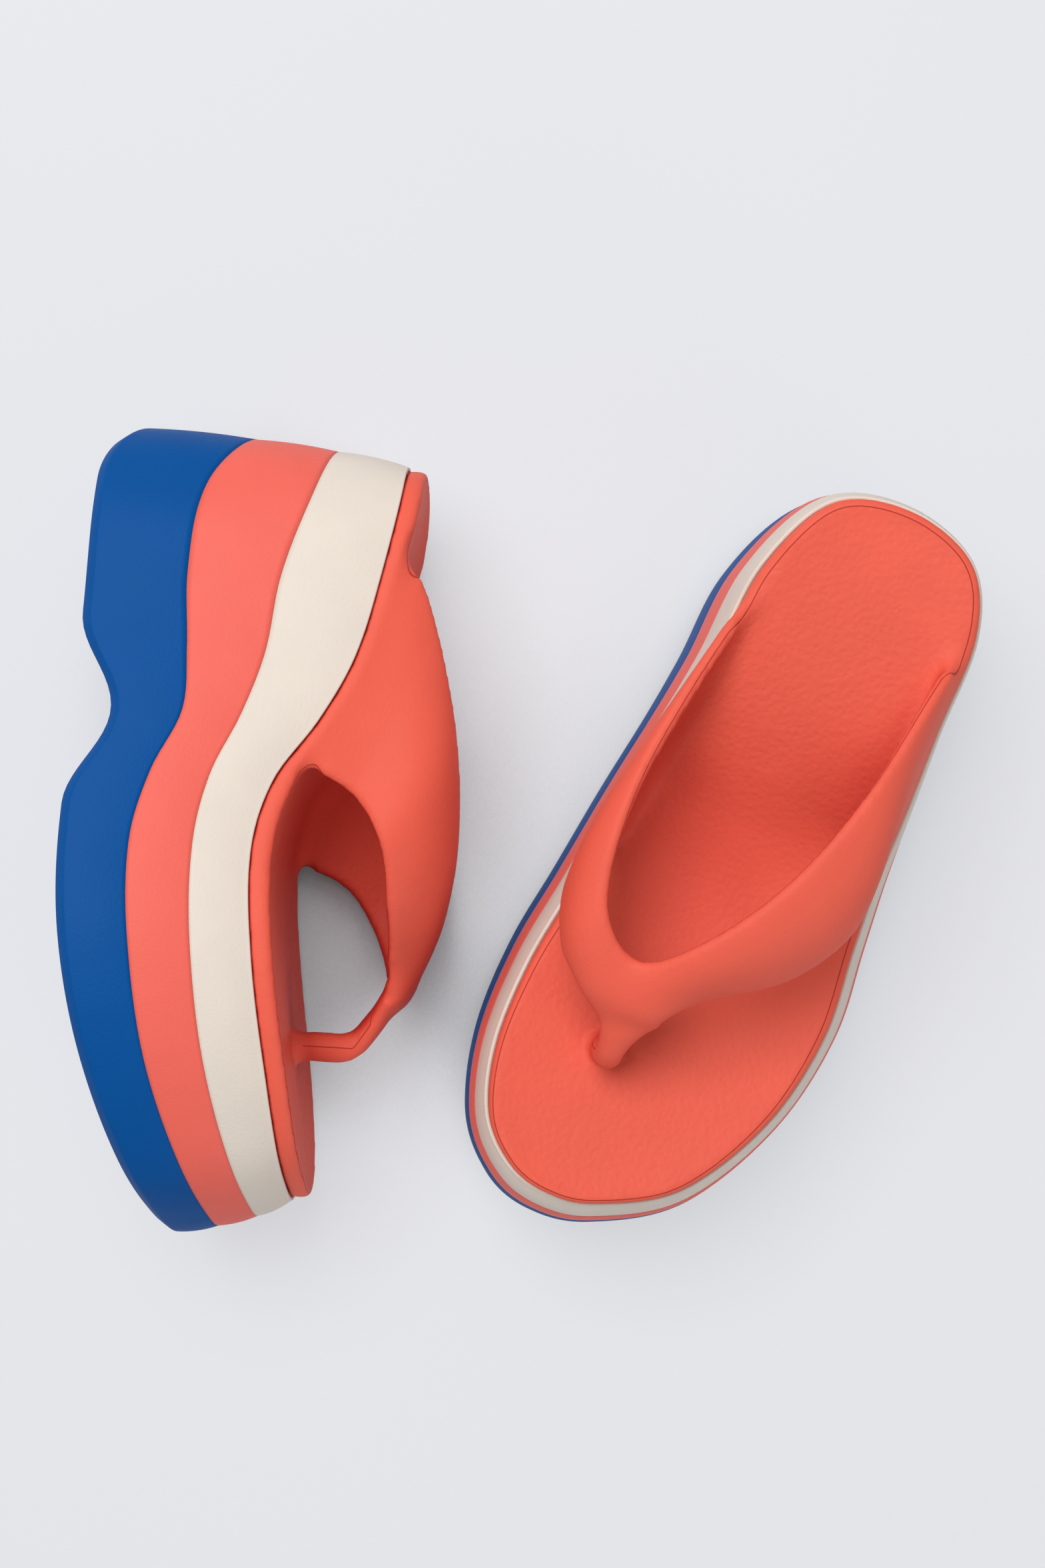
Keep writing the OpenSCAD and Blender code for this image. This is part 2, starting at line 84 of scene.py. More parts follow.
SOLE_LEN = HEEL_FLARE + BED_LEN + TOE_FLARE
CREAM_FOOT, CORAL_FOOT = 0.46, 0.78
STATIONS = np.array([0, 0.094, 0.207, 0.30, 0.376, 0.45, 0.534, 0.658, 0.81, 1]) * SOLE_LEN

# ---------- how fine the pieces are ----------

SPAN_STEPS = 12         # outline points per span of its control points
STRAP_STEPS = 12        # strap sections per span of its control rows
VOXEL = 1.1
FILLET_PASSES = 50      # smoothing of the fillets in the upper


# ---------- curves ----------

def catmull(a, b, c, d, t):
    """Between b and c on the smooth curve through a, b, c and d."""
    square = (2 * a - 5 * b + 4 * c - d) * t * t
    cube = (3 * b - a - 3 * c + d) * t ** 3
    return 0.5 * (2 * b + (c - a) * t + square + cube)


def closed_curve(points, steps):
    """A closed curve through all the points."""
    p = np.asarray(points, float)
    t = (np.arange(steps) / steps)[None, :, None]
    around = [np.roll(p, -k, 0)[:, None, :] for k in (-1, 0, 1, 2)]
    return catmull(*around, t).reshape(-1, p.shape[1])


def open_curve(points, steps):
    """An open curve through all the points, along the first axis."""
    p = np.asarray(points, float)
    q = np.concatenate([[2 * p[0] - p[1]], p, [2 * p[-1] - p[-2]]])
    out = [catmull(*q[i:i + 4], s / steps) for i in range(len(p) - 1) for s in range(steps)]
    return np.array(out + [p[-1]])


def profile(knots, values, y):
    """Height of a smooth profile at y."""
    k, v = np.asarray(knots, float), np.asarray(values, float)
    slope = np.empty(len(k))
    slope[1:-1] = (v[2:] - v[:-2]) / (k[2:] - k[:-2])
    slope[0] = (v[1] - v[0]) / (k[1] - k[0])
    slope[-1] = (v[-1] - v[-2]) / (k[-1] - k[-2])
    i = np.clip(np.searchsorted(k, y) - 1, 0, len(k) - 2)
    w = k[i + 1] - k[i]
    t = (y - k[i]) / w
    ends = v[i] * (2 * t ** 3 - 3 * t * t + 1) + v[i + 1] * (3 * t * t - 2 * t ** 3)
    return ends + w * slope[i] * (t ** 3 - 2 * t * t + t) + w * slope[i + 1] * (t ** 3 - t * t)


def unit(v):
    return v / np.linalg.norm(v, axis=-1, keepdims=True)


# ---------- heights along the sandal ----------

def waved(band):
    """A layer falls from the heel to the ball and climbs again to the toe."""
    heel, ball, toe = band["heel"], band["ball"], band["toe"]
    falls = [ball + (heel - ball) * share for share in band["fall"]]
    return [heel + band["lift"]] + falls + [ball + (toe - ball) * share for share in band["climb"]]


def band_z(band, y):
    return profile(STATIONS, waved(band), y)


def sole_z(y):
    """Level at the heel and the ball, notched under the arch and raised at both ends."""
    heel_end, arch_y, arch_half, spring_y = np.array(SOLE_MARKS) * SOLE_LEN
    back = HEEL_BEVEL * (np.clip(heel_end - y, 0, None) / heel_end) ** 2
    arch = ARCH_RISE * (0.5 + 0.5 * np.cos(pi * np.clip((y - arch_y) / arch_half, -1, 1)))
    toe = TOE_SPRING * (np.clip(y - spring_y, 0, None) / (SOLE_LEN - spring_y)) ** SPRING_POWER
    return back + arch + toe


# ---------- outlines ----------

def footbed_outline():
    """Anticlockwise from the heel, along the lateral side first, with its outward directions."""
    heel_r, waist_r, ball_r, lean, length = HEEL_W / 2, WAIST_W / 2, BALL_W / 2, BALL_LEAN, BED_LEN
    points = [
        [0, 0],
        [0.65 * heel_r, 0.03 * length],
        [0.96 * heel_r, 0.115 * length],
        [0.96 * waist_r, 0.25 * length],
        [1.06 * waist_r, 0.40 * length],
        [0.948 * ball_r - lean, 0.54 * length],
        [ball_r - lean, 0.665 * length],
        [0.87 * ball_r - lean, 0.80 * length],
        [0.52 * ball_r - lean, 0.925 * length],
        [0.04 * ball_r - lean, 0.987 * length],
        [-0.29 * ball_r - lean, length],
        [-0.58 * ball_r - lean, 0.985 * length],
        [-0.84 * ball_r - lean, 0.935 * length],
        [-0.98 * ball_r - lean, 0.845 * length],
        [-0.99 * ball_r - lean, 0.73 * length],
        [-0.915 * ball_r - lean, 0.61 * length],
        [-1.12 * waist_r, 0.455 * length],
        [-0.98 * waist_r, 0.275 * length],
        [-0.985 * heel_r, 0.14 * length],
        [-0.65 * heel_r, 0.03 * length],
    ]
    outline = closed_curve(points, SPAN_STEPS) + [0, HEEL_FLARE]
    d = np.roll(outline, -1, 0) - np.roll(outline, 1, 0)
    return outline, unit(np.stack([d[:, 1], -d[:, 0]], 1))


OUTLINE, NORMALS = footbed_outline()
RING_N = len(OUTLINE)
HALF_N = RING_N // 2
LATERAL = OUTLINE[:HALF_N + 1]
MEDIAL = OUTLINE[(-np.arange(HALF_N + 1)) % RING_N]


def flare():
    """How far the sole reaches past the footbed at each outline point."""
    t = np.clip((OUTLINE[:, 1] / SOLE_LEN - FLARE_FROM) / FLARE_OVER, 0, 1)
    smooth = t * t * (3 - 2 * t)
    lateral, medial = [heel + (ball - heel) * smooth for heel, ball in (LATERAL_FLARES, MEDIAL_FLARES)]
    side = np.where(NORMALS[:, 0] > 0, lateral, medial)
    ends = np.where(NORMALS[:, 1] < 0, HEEL_FLARE, TOE_FLARE)
    return side + NORMALS[:, 1] ** 2 * (ends - side)


def ring(share, inset, height):
    """The outline pushed out by a share of the flare, less an inset, at a height that follows y."""
    xy = OUTLINE + NORMALS * (share * flare() - inset)[:, None]
    return np.column_stack([xy, height(xy[:, 1])])


# ---------- meshes ----------

def grid_faces(rows, columns, start=0, closed=False):
    """Quads between rows of points."""
    i, j = np.meshgrid(np.arange(rows - 1), np.arange(columns if closed else columns - 1), indexing="ij")
    k = (j + 1) % columns
    quads = np.stack([i * columns + j, i * columns + k, (i + 1) * columns + k, (i + 1) * columns + j], -1)
    return (quads.reshape(-1, 4) + start).tolist()


def cap_faces(first, up):
    """Quads across a ring, from its lateral side to its medial one."""
    faces = []
    for i in range(HALF_N):
        p, q = first + i, first + i + 1
        r, s = first + RING_N - i - 1, first + (RING_N - i) % RING_N
        face = [v for n, v in enumerate([p, q, r, s]) if v not in [p, q, r, s][:n]]
        faces.append(face if up else face[::-1])
    return faces


def lofted(rings):
    """Points and faces of a closed solid through rings from the bottom to the top."""
    faces = grid_faces(len(rings), RING_N, closed=True)
    faces += cap_faces(0, False) + cap_faces((len(rings) - 1) * RING_N, True)
    return np.concatenate(rings), faces


def mesh_from(name, points, faces):
    mesh = bpy.data.meshes.new(name)
    mesh.from_pydata([tuple(p) for p in np.asarray(points, float)], [], [list(f) for f in faces])
    mesh.validate()
    return mesh


def points_of(mesh):
    co = np.empty(len(mesh.vertices) * 3)
    mesh.vertices.foreach_get("co", co)
    return co.reshape(-1, 3)


def set_points(mesh, points):
    mesh.vertices.foreach_set("co", np.asarray(points, float).ravel())
    mesh.update()


def add_value(mesh, name, values):
    """Keeps one number per point for the material to read."""
    layer = mesh.attributes.new(name, "FLOAT", "POINT")
    layer.data.foreach_set("value", np.asarray(values, np.float32))


# ---------- the three layers ----------

def between(low, high, share, fullness):
    out = low + (high - low) * share
    out[:, :2] += NORMALS * fullness * 4 * share * (1 - share)
    return out


def wall(low, high, fullness, rows):
    """Rings from low to high with a slightly full wall, without the last one."""
    return [between(low, high, share, fullness) for share in np.linspace(0, 1, rows, endpoint=False)]


def layer_rims():
    return dict(
        sole=ring(1, 0, lambda y: sole_z(y) + SOLE_BEVEL),
        blue=ring(CORAL_FOOT, 0, lambda y: band_z(BLUE, y)),
        coral=ring(CREAM_FOOT, 0, lambda y: band_z(CORAL, y)),
        cream=ring(0, 0, lambda y: band_z(CREAM, y)),
    )


WALL_ROWS = 14           # rings up each layer's wall
WALL_FULL, CREAM_FULL = 0.6, 0.8         # how full the walls are

# Inset and height of the ground edge's rings, in shares of the bevel.
BEVEL_STEPS = (1.06, 0), (1, 0), (0.93, 0.04), (0.5, 0.45), (0.1, 0.87), (0.02, 1.0), (0, 1.15)
BEVEL_TOP = 1.3


def blue_outsole():
    rims = layer_rims()

    def edge(inset, up):
        return ring(1, SOLE_BEVEL * inset, lambda y: sole_z(y) + SOLE_BEVEL * up)

    bevel = [edge(inset, up) for inset, up in BEVEL_STEPS]
    low = ring(1, 0, lambda y: sole_z(y) + SOLE_BEVEL * BEVEL_TOP)
    return lofted(bevel + wall(low, rims["blue"], WALL_FULL, WALL_ROWS) + [rims["blue"]])


def coral_layer():
    rims = layer_rims()
    return lofted(wall(rims["blue"], rims["coral"], WALL_FULL, WALL_ROWS) + [rims["coral"]])


LIP = 0.5                # rounding of the cream layer's top edge
GROOVE = 0.42            # width of the groove between the cream layer and the upper
GROOVE_DEPTH = 0.6


def cream_layer():
    rims = layer_rims()

    def top(inset, drop):
        return ring(0, inset, lambda y: band_z(CREAM, y) - drop)

    low = top(0, LIP)
    edge = [top(0, LIP), top(0.12 * LIP, 0.4 * LIP), top(0.45 * LIP, 0.08 * LIP), top(LIP, 0)]
    ledge = [
        top(BED_LEDGE - GROOVE, 0),
        top(BED_LEDGE - 0.8 * GROOVE, 0.25),
        top(BED_LEDGE - 0.6 * GROOVE, GROOVE_DEPTH),
        top(BED_LEDGE + GROOVE, GROOVE_DEPTH),
    ]
    return lofted(wall(rims["coral"], low, CREAM_FULL, WALL_ROWS) + edge + ledge)


# ---------- the upper ----------

BED_COLUMNS = 28         # quads across the footbed


def footbed_solid():
    def height(rise):
        return lambda y: band_z(CREAM, y) + rise

    edge = [(0.25, -0.7), (0, -0.1), (-0.3, 0.4 * BED_RISE), (-0.1, BED_RISE - BED_ROUND)]
    arc = np.radians(np.linspace(20, 90, 5))
    edge += [(BED_ROUND * (1 - cos(a)), BED_RISE - BED_ROUND * (1 - sin(a))) for a in arc]
    rings = [ring(0, BED_LEDGE + inset, height(rise)) for inset, rise in edge]
    points, faces = lofted(rings)
    faces = faces[:-HALF_N]
    rim = rings[-1]
    start = len(points)
    rows = []
    u = np.linspace(0, 1, BED_COLUMNS + 1)
    for i in range(HALF_N + 1):
        a, b = rim[i], rim[(RING_N - i) % RING_N]
        row = a + (b - a) * u[:, None]
        row[:, 2] = band_z(CREAM, row[:, 1]) + BED_RISE - hollow(i / HALF_N, u)
        rows.append(row)
    points = np.concatenate([points] + rows)
    faces += [face[::-1] for face in grid_faces(HALF_N + 1, BED_COLUMNS + 1, start)]
    return points, faces


def hollow(along, u):
    """Depth of the footbed's hollow."""
    return BED_DISH * np.sin(pi * along) ** 0.6 * (1 - np.abs(2 * u - 1) ** 2.5)


# The strap's rear and front edges and its fullness between them: across in half widths of the ball,
# back from the post in shares of its reach, down from its crest in shares of its fall. A program
# fitted the two edges to the photo's outline. They aren't chosen by hand.
STRAP_ROWS = [
    [[0.54, -1.002, -0.3], [0.67, -0.56, -0.83], [0.5, 0, 0.5]],
    [[0.4, -0.742, -0.07], [0.68, -0.454, -0.58], [1, 0.25, 1]],
    [[0.18, -0.505, 0], [0.46, -0.32, -0.51], [0.5, 0.5, 1]],
    [[-0.13, -0.32, -0.1], [0.06, -0.207, -0.51], [0.25, 0.25, 1]],
    [[-0.44, -0.225, -0.28], [-0.4, -0.072, -0.6], [0, 0.5, 0.75]],
    [[-0.75, -0.313, -0.21], [-0.79, -0.154, -0.56], [-0.5, 0.5, 0.75]],
    [[-0.86, -0.542, -0.19], [-0.97, -0.276, -0.71], [-0.75, 0, 0.5]],
    [[-0.8, -0.802, -0.33], [-0.92, -0.385, -1], [-0.75, 0, 0.5]],
]


STRAP_COLUMNS = 41       # points across the strap, closer together at its edges
STRAP_CROWD, STRAP_EVEN = 0.55, 0.45


def strap_surface():
    """The strap's middle surface, its normals and each point's distance from the nearer edge."""
    arc = 0.5 - 0.5 * np.cos(np.linspace(0, pi, STRAP_COLUMNS))
    u = STRAP_CROWD * arc + STRAP_EVEN * np.linspace(0, 1, STRAP_COLUMNS)
    seat = BED_LEDGE + STRAP_T / 2 + STRAP_INSET

    def root(side, length, sign):
        y = STRAP_START + length * u
        x = np.interp(y, side[:, 1], side[:, 0]) + sign * seat
        return np.stack([x, y, band_z(CREAM, y) + 0.45 * BED_RISE], 1)

    lines = [root(LATERAL, LATERAL_FOOT, -1)]
    for rear, front, full in STRAP_ROWS:
        a, b = [np.array([0, POST_Y, CREST_H]) + np.array(p) * [BALL_W / 2, STRAP_REACH, STRAP_FALL]
                for p in (rear, front)]
        lines.append(a + (b - a) * u[:, None] + STRAP_FULL * np.outer(4 * u * (1 - u), full))
    lines.append(root(MEDIAL, MEDIAL_FOOT, 1))
    middle = open_curve(lines, STRAP_STEPS)
    normal = unit(np.cross(np.gradient(middle, axis=1), np.gradient(middle, axis=0)))
    width = np.linalg.norm(middle[:, -1] - middle[:, 0], axis=1)
    return middle, normal, np.minimum(u, 1 - u)[None, :] * width[:, None]


def strap_solid():
    middle, normal, edge = strap_surface()
    half = STRAP_T / 2 * np.sqrt(1 - (1 - np.minimum(1, edge / (0.5 * STRAP_T))) ** 2)
    outer = middle + normal * half[..., None]
    inner = middle - normal * half[..., None]
    sections = np.concatenate([outer, inner[:, -2:0:-1]], 1)
    rows, columns = sections.shape[:2]
    faces = grid_faces(rows, columns, closed=True)
    faces += [list(range(columns)), list(range(rows * columns - 1, (rows - 1) * columns - 1, -1))]
    return sections.reshape(-1, 3), faces


def post_line():
    """Places and half sizes of the toe post, from the strap's tip through its bend to the footbed."""
    foot = band_z(CREAM, POST_Y) + BED_RISE - BED_DISH
    r = POST_D / 2
    bend = CREST_H - POST_BEND

    def lean(share):
        flatter = 1 - 0.5 * share ** 0.5
        wide = r + (TONGUE_W / 2 - r) * share ** 1.6
        back = POST_LEAN * share
        return [[-POST_X, POST_Y - back, bend + TONGUE_RISE * POST_LEAN * share], [wide, r * flatter]]

    return [
        lean(1),
        lean(0.75),
        lean(0.5),
        lean(0.3),
        lean(0.12),
        [[-POST_X, POST_Y - 0.1, bend - 0.8 * r], [r, r]],
        [[-POST_X, POST_Y, foot + 8], [r, r]],
        [[-POST_X, POST_Y, foot + 3], [r, r]],
        [[-POST_X, POST_Y, foot - 1.5], [r, r]],
    ]


POST_STEPS, POST_SIDES = 6, 28


def post_solid():
    line = post_line()
    centre = open_curve([stage[0] for stage in line], POST_STEPS)
    size = open_curve([stage[1] for stage in line], POST_STEPS)
    along = unit(np.gradient(centre, axis=0))
    side = np.array([1.0, 0, 0])
    front = unit(np.cross(along, side))
    turn = np.linspace(0, 2 * pi, POST_SIDES, endpoint=False)
    rings = []
    for c, s, f in zip(centre, size, front):
        rings.append(c + np.outer(np.cos(turn) * s[0], side) + np.outer(np.sin(turn) * s[1], f))
    points = np.concatenate(rings)
    faces = grid_faces(len(rings), len(turn), closed=True)
    last = (len(rings) - 1) * len(turn)
    faces += [list(range(len(turn)))[::-1], list(range(last, last + len(turn)))]
    return points, faces


def nearest(points, targets):
    """For each point, its distance to the nearest target, that target and its number."""
    tree = KDTree(len(targets))
    for i, p in enumerate(targets):
        tree.insert(p, i)
    tree.balance()
    found = [tree.find(p)[1:] for p in points]
    index = np.array([f[0] for f in found])
    return np.array([f[1] for f in found]), targets[index], index


BED, STRAP, POST = 0, 1, 2               # the parts that make up the upper
REACHES = {(BED, STRAP): 6, (BED, POST): 7, (STRAP, POST): 16}     # of the fillets between them
MOST_SWELL = 4
BLEND_FROM, BLEND_OVER = -2, 3           # heights over the bed where the fillets set in
ON_SOLID = 0.3                           # a point this near to a solid takes the way from its face
STRAP_RUN_IN = 25                        # over this length the strap's inner fillet grows from the heel
LINE_INSET = 2.4, 1.2                    # parting line inside the footbed's edge, at the heel and toe
LINE_FROM, LINE_OVER = 0.6, 0.3          # where it goes over from the one to the other
RISE_FROM, RISE_OVER = 1, 6              # heights over the bed where it goes over to the strap's edge
STRAP_NEAR = 9                           # how near to the strap it does
POST_OVER = 8                            # where it goes over to the post's sides, behind the post


def remeshed(parts):
    """One skin around the joined parts."""
    points = np.concatenate([p for p, _ in parts])
    starts = np.cumsum([0] + [len(p) for p, _ in parts])
    faces = [[v + start for v in f] for (_, fs), start in zip(parts, starts) for f in fs]
    mesh = mesh_from("skin", points, faces)
    holder = bpy.data.objects.new("skin", mesh)
    bpy.context.scene.collection.objects.link(holder)
    modifier = holder.modifiers.new("skin", "REMESH")
    modifier.mode = "VOXEL"
    modifier.voxel_size = VOXEL
    modifier.adaptivity = 0
    graph = bpy.context.evaluated_depsgraph_get()
    skin = bpy.data.meshes.new_from_object(holder.evaluated_get(graph))
    bpy.data.objects.remove(holder)
    return skin


def smoothed(mesh, weight, passes):
    """Moves each point towards the middle of its neighbours by its weight."""
    pairs = np.empty(len(mesh.edges) * 2, int)
    mesh.edges.foreach_get("vertices", pairs)
    a, b = pairs.reshape(-1, 2).T
    points = points_of(mesh)
    n = len(points)
    count = np.bincount(a, minlength=n) + np.bincount(b, minlength=n)
    for _ in range(passes):
        sums = [np.bincount(a, points[b, k], n) + np.bincount(b, points[a, k], n) for k in range(3)]
        total = np.stack(sums, 1)
        points += (total / count[:, None] - points) * weight[:, None]
    set_points(mesh, points)


def off_solid(solid, points):
    """Distance of each outer point from a solid's skin, and the direction away from it."""
    tree = BVHTree.FromPolygons(solid[0].tolist(), solid[1])
    hits = [tree.find_nearest(p) for p in points]
    away = points - np.array([h[0] for h in hits])
    distance = np.linalg.norm(away, axis=1)
    way = away / np.maximum(distance, 1e-6)[:, None]
    close = distance < ON_SOLID
    way[close] = np.array([h[1] for h in hits])[close]
    return distance, way


def fillet(mesh, solids):
    """Swells the skin where two of its parts meet at an angle, as far as a soft fillet between them.

    On the outside the strap grows out of the footbed's band without one: there it is only smoothed.
    """
    points = points_of(mesh)
    off = [off_solid(solid, points) for solid in solids]
    above = points[:, 2] - band_z(CREAM, points[:, 1]) - BED_RISE
    on_skin = np.clip((above - BLEND_FROM) / BLEND_OVER, 0, 1)
    outside = np.clip(strap_side(points)[0], 0, 1)
    from_start = np.clip((points[:, 1] - STRAP_START) / STRAP_RUN_IN, 0, 1)
    swell, blend = np.zeros(len(points)), np.zeros(len(points))
    for (a, b), reach in REACHES.items():
        nearness = np.clip(1 - (off[a][0] + off[b][0]) / reach, 0, 1)
        angle = np.clip(1 - (off[a][1] * off[b][1]).sum(1), 0, 1)
        inner = (1 - outside) * from_start if (a, b) == (BED, STRAP) else 1
        most = min(MOST_SWELL, reach / 3)
        swell = np.maximum(swell, most * nearness ** 2 * angle * inner)
        blend = np.maximum(blend, nearness)
    normals = np.array([v.normal for v in mesh.vertices])
    set_points(mesh, points + normals * (swell * on_skin)[:, None])
    smoothed(mesh, np.clip(2 * blend, 0, 1) * on_skin * 0.5, FILLET_PASSES)


def upper_mesh():
    """The footbed, strap and post as one skin with soft fillets, which knows its parting line."""
    solids = [footbed_solid(), strap_solid(), post_solid()]
    mesh = remeshed(solids)
    smoothed(mesh, np.full(len(mesh.vertices), 0.5), 3)
    fillet(mesh, solids)
    add_value(mesh, "mould_side", mould_side(points_of(mesh)))
    return mesh


def strap_side(points):
    """Signed distance from the strap's middle surface, positive outside, and the distance to it."""
    middle, normal, _ = strap_surface()
    middle, normal = middle.reshape(-1, 3), normal.reshape(-1, 3)
    distance, base, index = nearest(points, middle)
    return ((points - base) * normal[index]).sum(1), distance


def mould_side(points):
    """Signed distance from the parting line: positive on the outer faces, negative on the foot's side."""
    by_strap, to_strap = strap_side(points)
    edge = np.column_stack([OUTLINE, np.zeros(RING_N)])
    flat_points = points * [1, 1, 0]
    _, base, i = nearest(flat_points, edge)
    inset = -((flat_points - base)[:, :2] * NORMALS[i]).sum(1)
    to_toe = np.clip((points[:, 1] / SOLE_LEN - LINE_FROM) / LINE_OVER, 0, 1)
    by_bed = BED_LEDGE + LINE_INSET[0] + (LINE_INSET[1] - LINE_INSET[0]) * to_toe - inset
    above = points[:, 2] - band_z(CREAM, points[:, 1]) - BED_RISE
    share = np.clip((above - RISE_FROM) / RISE_OVER, 0, 1) * (to_strap < STRAP_NEAR)
    side = by_bed * (1 - share) + by_strap * share
    leaning = (points - [0, POST_Y, CREST_H - POST_BEND]) @ unit(np.array([0, TONGUE_RISE, 1]))
    by_post = np.maximum(points[:, 1] - POST_Y, leaning)
    on_post = np.clip((points[:, 1] - POST_Y + POST_LEAN) / POST_OVER, 0, 1)
    on_post *= (np.abs(points[:, 0] + POST_X) < 0.6 * TONGUE_W) & (above > RISE_FROM)
    return side * (1 - on_post) + by_post * on_post


# ---------- the two sandals' places ----------

def lying_turn():
    """How the right sandal lies: on its sole's medial edge, rolled until its strap touches the ground."""
    rim = layer_rims()["sole"]
    heel = rim[rim[:, 1] < 0.4 * SOLE_LEN]
    ball = rim[rim[:, 1] > 0.5 * SOLE_LEN]
    heel_touch, ball_touch = heel[heel[:, 0].argmin()], ball[ball[:, 0].argmin()]
    line = unit(ball_touch - heel_touch)
    up_line = unit(np.cross(line, [-1.0, 0, 0]))
    out_line = np.cross(up_line, line)
    q = strap_solid()[0] - heel_touch
    roll = np.arctan2(q @ out_line, q @ up_line).max()
    up = sin(roll) * up_line - cos(roll) * out_line
    toe = unit(np.array([0, 1, 0]) - up * up[1])
    top = np.cross(up, toe)
    turn = radians(RIGHT_TURN)
    return (np.outer([-sin(turn), -cos(turn), 0], toe) + np.outer([cos(turn), -sin(turn), 0], top)
            + np.outer([0, 0, 1], up))


def standing_turn():
    turn = radians(LEFT_TURN)
    return np.array([[cos(turn), -sin(turn), 0], [-sin(turn), -cos(turn), 0], [0, 0, 1]])


def box_middle(points):
    return (points.min(0) + points.max(0)) / 2


def place(side):
    """The turn of one sandal, and where its frame's origin lies, from its solids' box."""
    turn = lying_turn() if side == "right" else standing_turn()
    shape = np.concatenate(list(layer_rims().values())[:2] + [ring(1, SOLE_BEVEL, sole_z)])
    low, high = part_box(side + "_blue_outsole")
    return turn, (np.array(low) + np.array(high)) / (2 * MM) - box_middle(shape @ turn.T)


def piece(name, mesh, side, node, slot, material, spot):
    turn, origin = spot
    mesh = mesh.copy()
    mesh.name = name
    matrix = Matrix(np.block([[turn, origin[:, None]], [np.zeros((1, 3)), np.ones((1, 1))]]).tolist())
    mesh.transform(Matrix.Scale(MM, 4) @ matrix)
    if matrix.determinant() < 0:
        mesh.flip_normals()
    mesh.shade_smooth()
    mesh.materials.append(material)
    obj = bpy.data.objects.new(name, mesh)
    bpy.context.scene.collection.objects.link(obj)
    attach(obj, side + "_sandal")
    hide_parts(side + "_" + node)
    return obj


# ---------- materials ----------

FINE_GRAIN, FINE_DEPTH = 0.9, 0.07       # size and depth of the outer faces' grain
COARSE_GRAIN, COARSE_DEPTH = 1.9, 0.24   # size and depth of the footbed's grain
GRAIN_EDGE = 0.3                         # the one goes over to the other this near to the parting line
LINE_DEPTH = 0.15                        # depth of the parting line
LINE_HALF = 0.05, 0.25                   # half width of its bottom and of its top
LINE_TINT = 0.6, 0.3, 0.3                # its colour, in shares of the foam's
PAINTED_SHADE_REACH = 0.07                      # painted shade: walls that face each other this near, in metres, are painted a deeper red
PAINTED_SHADE_OPEN = 0.12, 0.74                 # openness at which that painted shade is deepest, and no deeper than outside
# colour of the painted shade, in shares of the foam's
PAINTED_SHADE_TINT = 0.42, 0.04, 0.08
CLOUD_SCALE = 60.0
CLOUD_CHANGE = 0.05                      # how much darker and lighter the clouds are


def node_of(tree, kind, **values):
    node = tree.nodes.new(kind)
    for key, value in values.items():
        if key in node.inputs:
            node.inputs[key].default_value = value
        else:
            setattr(node, key, value)
    return node


def leather(tree, where, grain, depth):
    """A leather-like grain in millimetres: the height of bent, soft-edged cells."""
    bend = node_of(tree, "ShaderNodeTexNoise", Scale=0.9 / (grain * MM), Detail=1.0)
    tree.links.new(where.outputs["Object"], bend.inputs["Vector"])
    shift = node_of(tree, "ShaderNodeVectorMath", operation="MULTIPLY_ADD")
    shift.inputs[1].default_value = [0.7 * grain * MM] * 3
    tree.links.new(bend.outputs["Color"], shift.inputs[0])
    tree.links.new(where.outputs["Object"], shift.inputs[2])
    cells = node_of(tree, "ShaderNodeTexVoronoi", Scale=1 / (grain * MM), feature="SMOOTH_F1")
    tree.links.new(shift.outputs[0], cells.inputs["Vector"])
    height = node_of(tree, "ShaderNodeMath", operation="MULTIPLY")
    height.inputs[1].default_value = depth
    tree.links.new(cells.outputs["Distance"], height.inputs[0])
    return height.outputs[0]


def ramp(tree, value, low, high, start=0.0, end=1.0):
    """Goes smoothly from start to end while the value goes from low to high."""
    step = node_of(tree, "ShaderNodeMapRange", interpolation_type="SMOOTHSTEP")
    for name, number in (("From Min", low), ("From Max", high), ("To Min", start), ("To Max", end)):
        step.inputs[name].default_value = number
    tree.links.new(value, step.inputs["Value"])
    return step.outputs[0]


def sum_of(tree, a, b, factor):
    """a + b * factor."""
    add = node_of(tree, "ShaderNodeMath", operation="MULTIPLY_ADD")
    add.inputs[1].default_value = factor
    tree.links.new(b, add.inputs[0])
    tree.links.new(a, add.inputs[2])
    return add.outputs[0]


def mixed(tree, factor, a, b):
    """Goes from a to b with the factor; each is a number's socket or a colour."""
    kind, first = ("RGBA", 6) if isinstance(b, tuple) else ("FLOAT", 2)
    mix = node_of(tree, "ShaderNodeMix", data_type=kind)
    tree.links.new(factor, mix.inputs[0])
    for socket, end in ((mix.inputs[first], a), (mix.inputs[first + 1], b)):
        if isinstance(end, tuple):
            socket.default_value = (*end, 1)
        else:
            tree.links.new(end, socket)
    return mix.outputs[2 if kind == "RGBA" else 0]


def times(color, shares):
    return tuple(c * share for c, share in zip(color, shares))


